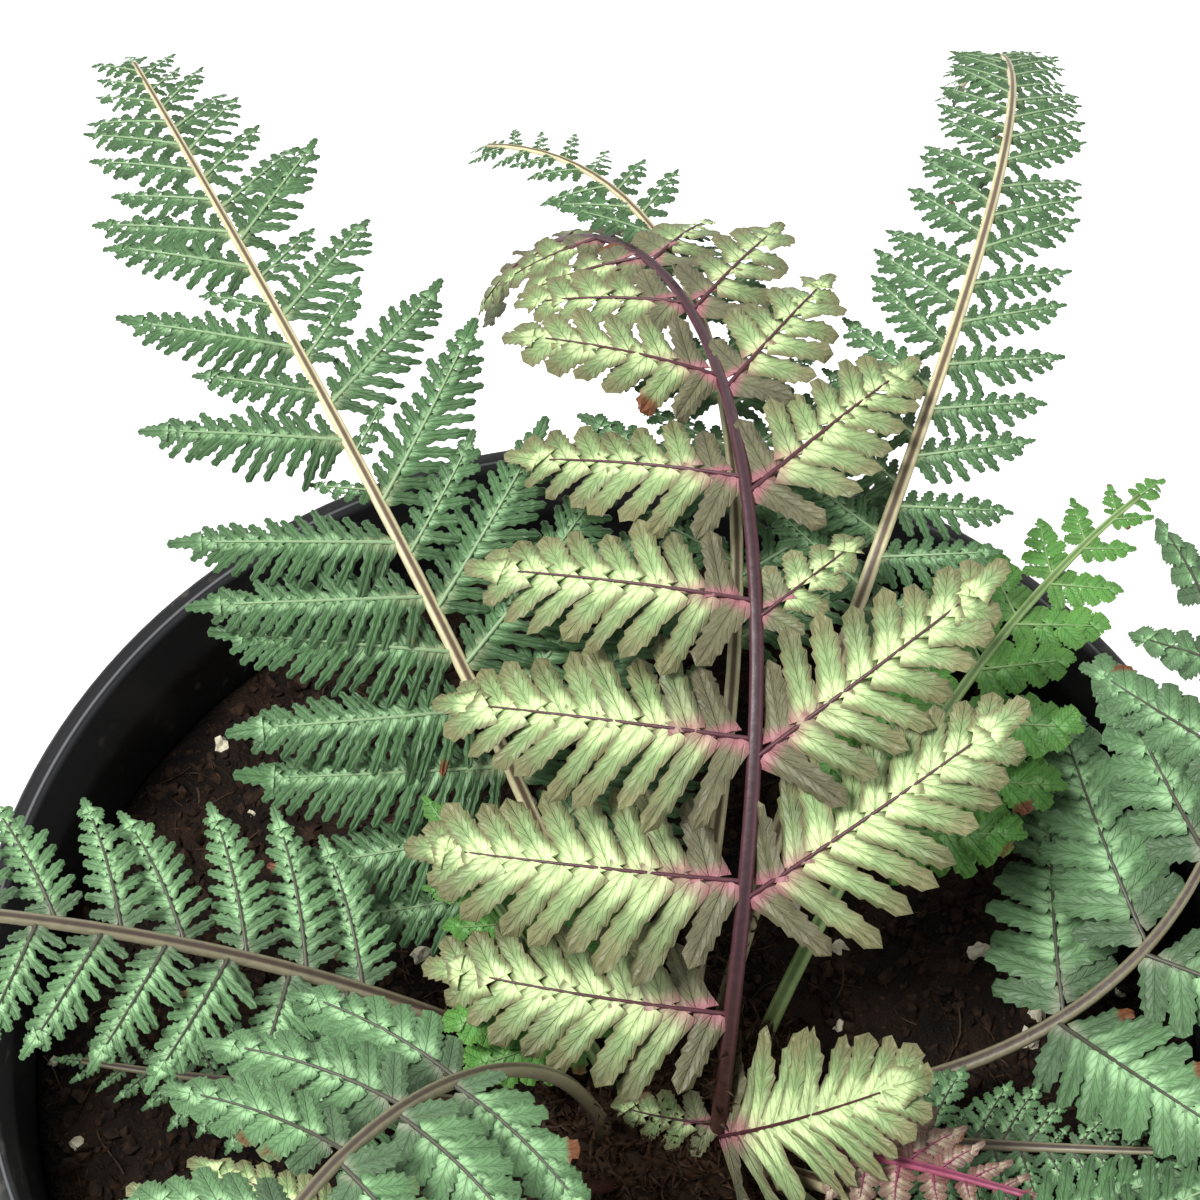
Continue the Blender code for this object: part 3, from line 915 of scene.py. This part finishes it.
# %% Midribs of the leaflets
def tube_tree():
    tree, bench, read = new_tree("lines_to_tubes", Sides="Int")
    curves = bench.add("GeometryNodeMeshToCurve", {}, {"Mesh": read("Geometry")})
    sizes = {"Resolution": read("Sides"), "Radius": 1.0}
    ring = bench.add("GeometryNodeCurvePrimitiveCircle", {}, sizes)
    values = {
        "Curve": curves, "Profile Curve": ring, "Scale": named(bench, "thick"), "Fill Caps": True,
    }
    end_tree(bench, read, bench.add("GeometryNodeCurveToMesh", {}, values))
    return tree


TUBE_TREE = tube_tree()
RIB_SIDES = 5
RIB_ROOT = 0.00034
RIB_TIP = 0.00010
RIB_RISE = 0.00005
FULL_LEAFLET = 0.03


def rib_lines(frond):
    """A line of points along each leaflet, thinner towards its tip."""
    rows, edges = [], []
    for leaf in LEAFLETS[frond.name]:
        steps = spine(leaf)[::2]
        width = min(1.0, leaf.length / FULL_LEAFLET) ** 0.5
        for index, (spot, way, side, normal) in enumerate(steps[:-1]):
            share = index / (len(steps) - 1)
            thick = (RIB_ROOT + (RIB_TIP - RIB_ROOT) * share) * width
            if index:
                edges.append((len(rows) - 1, len(rows)))
            rows.append((spot + normal * RIB_RISE, thick, share, max(leaf.place, 0.3), 1.0))
    spots, *columns = zip(*rows)
    numbers = dict(zip(("thick", "along", "place", "fine"), columns))
    return point_cloud(frond.name + "_lines", spots, numbers, {}, edges)


# %% Main stalks
STALK_SIDES = 10
GROOVE = 0.45


def stalk_ring(points, share):
    """One ring of the stalk, pinched in along its upper face."""
    spot, ahead, left, face = frame_at(points, share)
    radius = STALK_FOOT + (STALK_TIP - STALK_FOOT) * share
    ring = []
    for corner in range(STALK_SIDES):
        angle = math.tau * corner / STALK_SIDES
        upper = max(0.0, math.cos(angle)) ** 6
        reach = radius * (1.0 - GROOVE * upper * min(1.0, share * 6))
        ring.append(spot + (face * math.cos(angle) + left * math.sin(angle)) * reach)
    return ring


# %% Loft the stalks
def bridge(shape, rings):
    """Joins each ring of points to the next with four-sided faces."""
    for low, high in zip(rings, rings[1:]):
        for corner in range(len(low)):
            after = (corner + 1) % len(low)
            shape.faces.new((low[corner], low[after], high[after], high[corner]))


def stalk_piece(frond, material):
    points = PATHS[frond.name]
    shape = bmesh.new()
    around = shape.verts.layers.float.new("round")
    place = shape.verts.layers.float.new("place")
    rings = []
    for step in range(PATH_STEPS + 1):
        share = step / PATH_STEPS
        ring = []
        for corner, spot in enumerate(stalk_ring(points, share)):
            made = shape.verts.new(spot)
            made[around] = min(corner, STALK_SIDES - corner) / STALK_SIDES
            made[place] = share
            ring.append(made)
        rings.append(ring)
    bridge(shape, rings)
    shape.faces.new(rings[0][::-1])
    shape.faces.new(rings[-1])
    bmesh.ops.recalc_face_normals(shape, faces=shape.faces)
    mesh = mesh_from(shape, frond.name + "_stalk")
    mesh.materials.append(material)
    mesh.shade_smooth()
    return linked(frond.name + "_stalk", mesh)


RIB_PIECES = {}
STALK_PIECES = {}
for frond in FRONDS:
    lines = rib_lines(frond)
    material = RIB_MATERIALS[PAINT[frond.name]]
    settings = {"Sides": RIB_SIDES, "Material": material}
    RIB_PIECES[frond.name] = run_tree(lines, TUBE_TREE, settings, frond.name + "_ribs")
    discard(lines)
    STALK_PIECES[frond.name] = stalk_piece(frond, material)
print("rib triangles:", sum(len(piece.data.polygons) * 2 for piece in RIB_PIECES.values()))

# %% [markdown]
# ## The pot
#
# A nursery pot is blown or moulded in thin black plastic, with a rolled lip that is stiffer than
# its wall. It is turned from one profile. The plastic is nearly black and satin, with a fine
# mould texture and patches of dust. The top of the inner wall is painted greyer, partly for the
# film that watering leaves and partly as painted light, with the wall below left black as if in
# shade. A thin pale line along the crest of the lip is a painted highlight.

# %% Pot
POT_TURNS = 144
WALL = 0.0015
FLOOR = 0.0022
LIP_DROP = 0.006
LIP_OVERHANG = 0.0022
BASE_RADIUS = 0.0635
DRAIN_HOLES = 6
DRAIN_RADIUS = 0.0045
DRAIN_CIRCLE = 0.047
ROLL = 0.0013
LIP_FLARE = 0.0004
LIP_EDGE = 0.0006
HEEL = 0.0020
DUST_AND_LIGHT_DEPTH = 0.0095
WALL_SLOPE = (RIM_RADIUS - LIP_OVERHANG - BASE_RADIUS) / (RIM_HEIGHT - LIP_DROP)


def arc(centre, radius, first, last, steps):
    """Points on an arc of the profile, by angles in degrees."""
    for step in range(steps + 1):
        angle = math.radians(first + (last - first) * step / steps)
        yield centre[0] + radius * math.cos(angle), centre[1] + radius * math.sin(angle)


def pot_profile():
    """The section of the pot, from the middle of its floor up, over the lip and down outside."""
    neck = RIM_RADIUS - LIP_OVERHANG
    under_lip = RIM_HEIGHT - LIP_DROP
    inside = neck - WALL + LIP_FLARE
    points = [(0.0, FLOOR), (BASE_RADIUS + WALL_SLOPE * FLOOR - WALL - 0.002, FLOOR)]
    points.append((BASE_RADIUS + WALL_SLOPE * 0.005 - WALL, FLOOR + 0.002))
    points.append((neck - WALL, under_lip - 0.001))
    points.append((inside, RIM_HEIGHT - 0.0016))
    points += arc((inside + ROLL, RIM_HEIGHT - ROLL), ROLL, 180, 90, 5)
    points += arc((RIM_RADIUS - ROLL, RIM_HEIGHT - ROLL), ROLL, 90, 0, 5)
    points += arc((RIM_RADIUS - LIP_EDGE, under_lip + LIP_EDGE), LIP_EDGE, 0, -90, 3)
    points.append((neck, under_lip))
    points.append((neck - WALL_SLOPE * 0.0012, under_lip - 0.0012))
    points.append((BASE_RADIUS + WALL_SLOPE * 0.004, 0.004))
    points += arc((BASE_RADIUS + 0.0004 - HEEL, HEEL), HEEL, 10, -90, 4)
    points.append((0.0, 0.0))
    return points


# %% Turn a profile
def turned(name, profile, steps):
    """A closed shape turned round Z from a profile whose two ends lie on the axis."""
    mesh = bpy.data.meshes.new(name)
    edges = [(index, index + 1) for index in range(len(profile) - 1)]
    mesh.from_pydata([(x, 0.0, z) for x, z in profile], edges, [])
    made = linked(name, mesh)
    screw = made.modifiers.new("turn", "SCREW")
    screw.steps = screw.render_steps = steps
    screw.use_merge_vertices = True
    screw.merge_threshold = 0.00001
    return made


def applied(thing):
    """The object with its modifiers worked into its mesh."""
    mesh = worked_out(thing)
    thing.modifiers.clear()
    thing.data = mesh
    return thing


# %% Black plastic
def plastic_material():
    made, bench, shader = new_material("nursery_plastic")
    fine = bench.grain(2600.0, 2.0)
    cloud = bench.grain(38.0, 4.0)
    dust = (bench.grain(420.0, 5.0) + cloud * 0.5).ramp(0.86, 1.02)
    split = bench.add("ShaderNodeSeparateXYZ", {}, {"Vector": bench.place()})
    x, y, z = (Flow(bench, socket) for socket in split.socket.node.outputs)
    radius = (x * x + y * y).math("SQRT")
    inward = z * WALL_SLOPE + BASE_RADIUS - radius
    # Partly dust and water film, partly painted light: the top of the inner wall is painted greyer as
    # if lit, and the wall below keeps its black as if in shade.
    dust_and_light_from = RIM_HEIGHT - DUST_AND_LIGHT_DEPTH
    dust_and_light = inward.ramp(0.0010, 0.0013) * z.ramp(dust_and_light_from - 0.003, dust_and_light_from)
    # Painted highlight: a thin pale line along the crest of the rolled lip stands in for its shine.
    painted_lip_highlight = 1.0 - (inward - 0.0008).size().ramp(0.00005, 0.00026)
    painted_lip_highlight = painted_lip_highlight * z.ramp(RIM_HEIGHT - 0.001, RIM_HEIGHT)
    colour = bench.blend(cloud.ramp(0.35, 0.7), (0.0065, 0.0065, 0.0075), (0.012, 0.012, 0.013))
    colour = bench.blend(dust_and_light * (cloud * 0.5 + 0.75), colour, (0.034, 0.034, 0.037))
    colour = bench.blend(painted_lip_highlight * 0.8, colour, (0.16, 0.16, 0.17))
    colour = bench.blend(dust * 0.35, colour, (0.14, 0.12, 0.10))
    height = fine * 0.5 + bench.grain(700.0, 2.0) * 0.5
    rough = cloud * 0.25 + dust * 0.3 + 0.32
    finish(bench, shader, colour, rough, height, 0.00012, 0.35, gloss=0.35)
    return made


# %% The pot and its drain holes
pot = applied(turned("pot_shell", pot_profile(), POT_TURNS))
drains = bpy.data.collections.new("drains")
for hole in range(DRAIN_HOLES):
    turn = math.tau * hole / DRAIN_HOLES
    spot = (DRAIN_CIRCLE * math.cos(turn), DRAIN_CIRCLE * math.sin(turn), 0.0)
    bpy.ops.mesh.primitive_cylinder_add(
        vertices=32, radius=DRAIN_RADIUS, depth=4 * FLOOR, location=spot
    )
    drains.objects.link(bpy.context.object)
cut = pot.modifiers.new("drains", "BOOLEAN")
cut.operation = "DIFFERENCE"
cut.operand_type = "COLLECTION"
cut.collection = drains
applied(pot)
for thing in list(drains.objects):
    discard(thing)
pot.data.materials.clear()
pot.data.materials.append(plastic_material())
pot.data.shade_smooth()
pot.data.set_sharp_from_angle(angle=math.radians(40))
print("pot faces:", len(pot.data.polygons))

# %% [markdown]
# ## The soil
#
# Potting mix is dark, damp and crumbly, with pale grains of perlite and fine fibres. Its body is
# a disc with a lumpy face. On that face a scatter tree drops crumbs, perlite and fibres.

# %% Soil body
SOIL_SIDES = 150
SOIL_RINGS = 64
SOIL_LEVEL = 0.143
LUMP_OVER = 0.0008


def soil_relief(x, y):
    """Height of the soil's face above its middle level: broad lumps with crumbs on them."""
    spot = Vector((x, y, 0.3))
    broad = 0.0022 * noise.noise(spot * 55.0)
    crumb = 0.0011 * noise.fractal(spot * 230.0, 0.7, 2.0, 3)
    return broad + crumb


def soil_body():
    radius = SOIL_HIGH.x
    profile = [(radius * ring / SOIL_RINGS, SOIL_LEVEL) for ring in range(SOIL_RINGS + 1)]
    profile += [(BASE_RADIUS - WALL, SOIL_LOW.z), (0.0, SOIL_LOW.z)]
    soil = applied(turned("soil_mix", profile, SOIL_SIDES))
    for vertex in soil.data.vertices:
        x, y, z = vertex.co
        if z > SOIL_LEVEL - 0.001 and math.hypot(x, y) < radius - 0.0005:
            vertex.co.z = min(SOIL_LEVEL + soil_relief(x, y), SOIL_HIGH.z + LUMP_OVER)
    soil.data.shade_smooth()
    return soil


# %% Potting mix
def soil_material():
    made, bench, shader = new_material("potting_mix")
    cloud = bench.grain(90.0, 5.0)
    fine = bench.grain(1100.0, 4.0)
    colour = bench.blend(cloud.ramp(0.35, 0.7), (0.0040, 0.0026, 0.0018), (0.018, 0.009, 0.005))
    colour = bench.blend(fine.ramp(0.58, 0.72) * 0.6, colour, (0.060, 0.030, 0.014))
    finish(bench, shader, colour, fine * 0.3 + 0.65, fine + cloud, 0.0012, 0.9, gloss=0.15)
    return made


soil = soil_body()
soil.data.materials.append(soil_material())
print("soil faces:", len(soil.data.polygons))


# %% The scatter tree
def scatter_tree():
    sizes = {"Density": "Float", "Least": "Float", "Most": "Float", "Tumble": "Float"}
    tree, bench, read = new_tree("scatter", Shapes="Collection", **sizes, Seed="Int")
    seed = read("Seed")
    scattered = bench.add(
        "GeometryNodeDistributePointsOnFaces", {},
        {"Mesh": read("Geometry"), "Density": named(bench, "cover") * read("Density"), "Seed": seed},
    )
    placed = bench.add(
        "GeometryNodeInstanceOnPoints", {},
        {
            "Points": scattered, "Instance": shapes_of(bench, read("Shapes")), "Pick Instance": True,
            "Rotation": Flow(bench, scattered.socket.node.outputs["Rotation"]),
            "Scale": by_chance(bench, "FLOAT", read("Least"), read("Most"), seed),
        },
    )
    tip = read("Tumble")
    back = tip * -1.0
    low = bench.add("ShaderNodeCombineXYZ", {}, {"X": back, "Y": back, "Z": -math.pi})
    high = bench.add("ShaderNodeCombineXYZ", {}, {"X": tip, "Y": tip, "Z": math.pi})
    end_tree(bench, read, rocked(bench, placed, low, high, seed))
    return tree


SCATTER = scatter_tree()


def scattered_over(source, shapes, sizes, seed, material, name):
    """Runs the scatter tree: sizes are density, least, most and tumble."""
    settings = dict(zip(("Density", "Least", "Most", "Tumble"), sizes))
    settings.update({"Shapes": shapes, "Seed": seed, "Material": material})
    return run_tree(source, SCATTER, settings, name)


# %% [markdown]
# ## Crumbs, perlite and fibres
#
# Each is a small rough shape, made in a few variants. Crumbs and perlite are lumps pushed in and
# out by noise. Fibres are thin bent rods.


# %% Small things on the soil
FLATTENED = 0.72
FIBRE_STEPS = 5
FIBRE_THICK = 0.018
LITTER_GRAIN = 600.0


def lump_mesh(name, seed, roughness, detail=1):
    shape = bmesh.new()
    bmesh.ops.create_icosphere(shape, subdivisions=detail, radius=0.5)
    for vertex in shape.verts:
        push = noise.noise(vertex.co * 2.3 + Vector((seed * 7.1, seed * 3.3, 0.0)))
        vertex.co *= 1.0 + roughness * push
        vertex.co.z *= FLATTENED
    return mesh_from(shape, name)


def fibre_mesh(name, seed):
    """A bent rod one unit long, three-sided."""
    shape = bmesh.new()
    rings = []
    for step in range(FIBRE_STEPS + 1):
        share = step / FIBRE_STEPS
        sway = 0.18 * math.sin(share * 3.0 + seed)
        centre = Vector((share - 0.5, sway, 0.06 * math.sin(share * math.pi)))
        rings.append([
            shape.verts.new(centre + FIBRE_THICK * Vector((0.0, math.cos(turn), math.sin(turn))))
            for turn in (0.0, math.tau / 3, 2 * math.tau / 3)
        ])
    bridge(shape, rings)
    shape.faces.new(rings[0])
    shape.faces.new(rings[-1])
    bmesh.ops.recalc_face_normals(shape, faces=shape.faces)
    return mesh_from(shape, name)


def clear_set(group):
    for thing in list(group.objects):
        discard(thing)
    bpy.data.collections.remove(group)


# %% A finish for loose things
def grainy_material(name, dark, pale, scale, roughness):
    made, bench, shader = new_material(name)
    cloud = bench.grain(scale, 4.0)
    colour = bench.blend(cloud.ramp(0.3, 0.7), dark, pale)
    finish(bench, shader, colour, roughness, cloud, 0.0004, 0.6, gloss=0.18)
    return made


def mark_cover(mesh, rule):
    """Stores, for each point of the mesh, how thickly the scatter covers it."""
    cover = mesh.attributes.new("cover", "FLOAT", "POINT")
    cover.data.foreach_set("value", [rule(vertex.co) for vertex in mesh.vertices])


def on_soil_face(spot):
    near_wall = math.hypot(spot.x, spot.y) > SOIL_HIGH.x - 0.002
    return 0.0 if near_wall or spot.z < SOIL_LEVEL - 0.005 else 1.0


mark_cover(soil.data, on_soil_face)

# %% Litter on the soil
Litter = namedtuple("Litter", "name shapes sizes seed dark pale roughness")
LITTER = (
    Litter("soil_crumbs", [lump_mesh(f"crumb_{i}", i, 0.9) for i in range(4)],
           (260000, 0.0008, 0.0028, math.pi), 3, (0.0035, 0.0022, 0.0015), (0.030, 0.015, 0.008), 0.8),
    Litter("perlite", [lump_mesh(f"perlite_{i}", i + 9, 0.7, 2) for i in range(3)],
           (4600, 0.0010, 0.0038, math.pi), 5, (0.42, 0.38, 0.27), (0.74, 0.70, 0.55), 0.8),
    Litter("soil_fibres", [fibre_mesh(f"fibre_{i}", i * 1.7) for i in range(4)],
           (30000, 0.003, 0.009, math.pi - 2.9), 8, (0.012, 0.007, 0.004), (0.06, 0.035, 0.018), 0.7),
)
LITTER_PIECES = []
for litter in LITTER:
    group = shape_set(litter.name + "_shapes", litter.shapes)
    material = grainy_material(
        litter.name + "_finish", litter.dark, litter.pale, LITTER_GRAIN, litter.roughness
    )
    made = scattered_over(soil, group, litter.sizes, litter.seed, material, litter.name)
    LITTER_PIECES.append(made)
    clear_set(group)
    print(litter.name, "faces:", len(made.data.polygons))

# %% [markdown]
# ## The crown
#
# The stalks rise from a short thick rhizome, covered in brown papery scales. Its solid already
# has the right form and the holes for the stalks. Here a copy of it gets a bark finish, and the
# scatter tree covers it with scales. The same scales sit on the lowest part of the stalks,
# thinning out upwards.


# %% Crown and scales
SAME_SPOT = 0.00001
SCALE_ROWS = 4
SCALE_HALF = 0.16
SCALE_TUMBLE = 0.75
SCALED_SHARE = 0.16
CROWN_BARE_BELOW = 0.1435


def crown_piece():
    mesh = frame["nodes"]["rhizome"].data.copy()
    shape = bmesh.new()
    shape.from_mesh(mesh)
    bmesh.ops.remove_doubles(shape, verts=shape.verts, dist=SAME_SPOT)
    shape.to_mesh(mesh)
    shape.free()
    bark = grainy_material("crown_bark", (0.012, 0.006, 0.003), (0.05, 0.026, 0.013), 260.0, 0.8)
    mesh.materials.clear()
    mesh.materials.append(bark)
    return linked("crown", mesh)


def scale_mesh(name, bend):
    """A narrow pointed scale, one unit tall, that stands on its root and bends over."""
    shape = bmesh.new()
    rows = []
    for step in range(SCALE_ROWS):
        share = step / SCALE_ROWS
        half = SCALE_HALF * (1.0 - share) ** 0.6
        lean = bend * share**2
        front = [shape.verts.new((side * half, lean, share)) for side in (-1.0, 1.0)]
        rows.append((*front, shape.verts.new((0.0, lean - 0.05, share))))
    tip = shape.verts.new((0.0, bend, 1.0))
    bridge(shape, rows)
    for corner in range(3):
        shape.faces.new((rows[-1][corner], rows[-1][(corner + 1) % 3], tip))
    shape.faces.new(rows[0])
    bmesh.ops.recalc_face_normals(shape, faces=shape.faces)
    return mesh_from(shape, name)


# %% A coat of scales
def scaly_coat(source, rule, sizes, name, seed):
    """Papery scales on a piece, as thick as the rule says at each point."""
    mark_cover(source.data, rule)
    coat = scattered_over(source, SCALES, (*sizes, SCALE_TUMBLE), seed, SCALE_FINISH, name)
    source.data.attributes.remove(source.data.attributes["cover"])
    coat.data.shade_flat()
    return coat


SCALES = shape_set("scale_shapes", [scale_mesh(f"scale_{i}", 0.25 + 0.3 * i) for i in range(3)])
SCALE_FINISH = grainy_material(
    "papery_scales", (0.012, 0.006, 0.003), (0.055, 0.028, 0.014), 900.0, 0.6
)
crown = crown_piece()
crown_scales = scaly_coat(
    crown, lambda spot: 1.0 if spot.z > CROWN_BARE_BELOW else 0.0, (1500000, 0.0012, 0.0030),
    "crown_scales", 4,
)
stalk_scales = []
for number, frond in enumerate(FRONDS):
    foot = PATHS[frond.name][0]
    covered = frond.length / 1000 * SCALED_SHARE
    stalk_scales.append(scaly_coat(
        STALK_PIECES[frond.name],
        lambda spot: max(0.0, 1.0 - (spot - foot).length / covered), (900000, 0.0006, 0.0022),
        frond.name + "_scales", 20 + number,
    ))
clear_set(SCALES)
print("crown scales:", len(crown_scales.data.polygons), "faces")

# %% [markdown]
# ## Riding the frame
#
# Nothing on this object moves, so every piece rides on the one body. The plain solid that a piece
# stands for is then hidden.

# %% Ride and replace
for group in LOBES.values():
    clear_set(group)
for frond, coat in zip(FRONDS, stalk_scales):
    for piece in (LEAF_PIECES[frond.name], RIB_PIECES[frond.name], STALK_PIECES[frond.name]):
        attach(piece, "root")
        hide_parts(frond.name)
    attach(coat, "root")
REST = {"rhizome": [crown, crown_scales], "soil": [soil, *LITTER_PIECES], "pot": [pot]}
for node, (main, *others) in REST.items():
    for piece in (main, *others):
        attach(piece, "root")
    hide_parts(node)
meshes = [thing for thing in bpy.context.scene.objects if thing.type == "MESH"]
seen = [thing.data for thing in meshes if not thing.hide_render]
faces = sum(len(mesh.loops) - 2 * len(mesh.polygons) for mesh in seen)
print("pieces:", len(seen), "triangles:", faces)

# %% [markdown]
# ## Floor and light
#
# The photograph has a plain white ground and soft even light from above, so the floor is a large
# pale sheet and three wide lamps are set round the plant. The strongest stands high at the left.


# %% Stage
def floor_piece():
    bpy.ops.mesh.primitive_plane_add(size=6.0, location=(0.0, 0.0, 0.0))
    floor = bpy.context.object
    floor.name = "floor"
    made, _, shader = new_material("pale_floor")
    shader.inputs["Base Color"].default_value = (0.93, 0.93, 0.93, 1.0)
    shader.inputs["Roughness"].default_value = 0.9
    shader.inputs["Emission Color"].default_value = (1.0, 1.0, 1.0, 1.0)
    shader.inputs["Emission Strength"].default_value = 0.22
    floor.data.materials.append(made)


def lamp(name, spot, size, power):
    data = bpy.data.lights.new(name, "AREA")
    data.shape = "DISK"
    data.size = size
    data.energy = power
    made = bpy.data.objects.new(name, data)
    made.location = spot
    aim = Vector((0.0, 0.02, 0.18)) - Vector(spot)
    made.rotation_euler = aim.to_track_quat("-Z", "Y").to_euler()
    bpy.context.scene.collection.objects.link(made)


floor_piece()
lamp("key", (-0.50, -0.20, 1.15), 0.40, 18.0)
lamp("fill", (0.85, -0.75, 0.80), 0.9, 4.0)
lamp("back", (0.2, 1.1, 0.95), 0.9, 4.5)
world = bpy.data.worlds.new("studio")
world.use_nodes = True
world.node_tree.nodes["Background"].inputs["Color"].default_value = (1.0, 1.0, 1.0, 1.0)
world.node_tree.nodes["Background"].inputs["Strength"].default_value = 0.55
bpy.context.scene.world = world
bpy.context.scene.view_settings.view_transform = "Standard"
